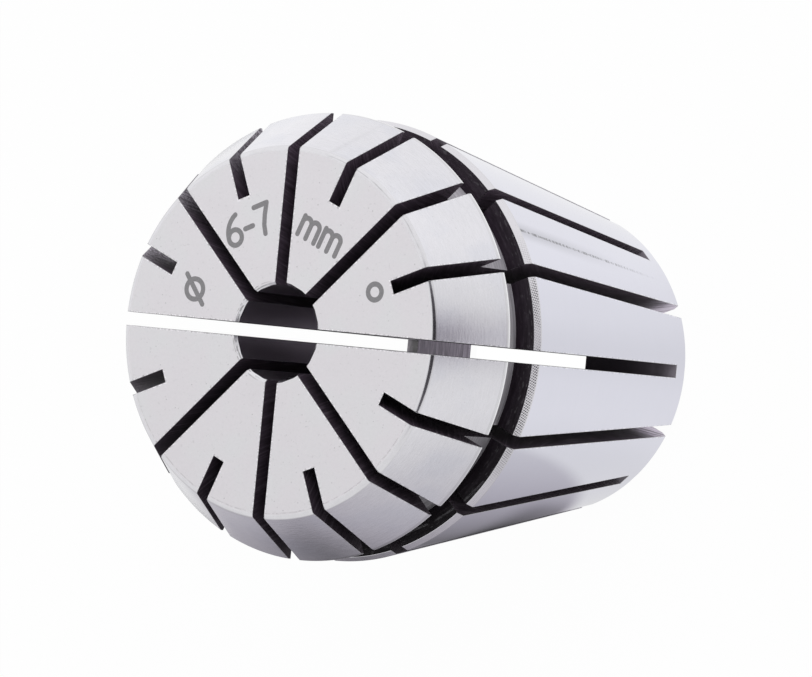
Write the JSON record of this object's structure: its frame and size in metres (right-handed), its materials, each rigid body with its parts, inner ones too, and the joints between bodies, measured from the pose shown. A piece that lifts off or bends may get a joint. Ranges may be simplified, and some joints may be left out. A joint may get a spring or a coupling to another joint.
{
  "type": "er collet",
  "caption": "Slotted spring collet with a tapered seat, an extraction groove, a coned head and a straight shank bore.",
  "frame": {"origin": "middle of the small rear end, on the surface that the collet stands on", "axes": "+Z along the bore axis, from the rear end to the clamping face; +X through the middle of a slot that starts at the clamping face"},
  "size_m": [0.033, 0.033, 0.04],
  "materials": {
    "ground_steel": "ground and polished spring steel"
  },
  "bodies": {
    "root": {"collet": "ground_steel"}
  },
  "joints": []
}
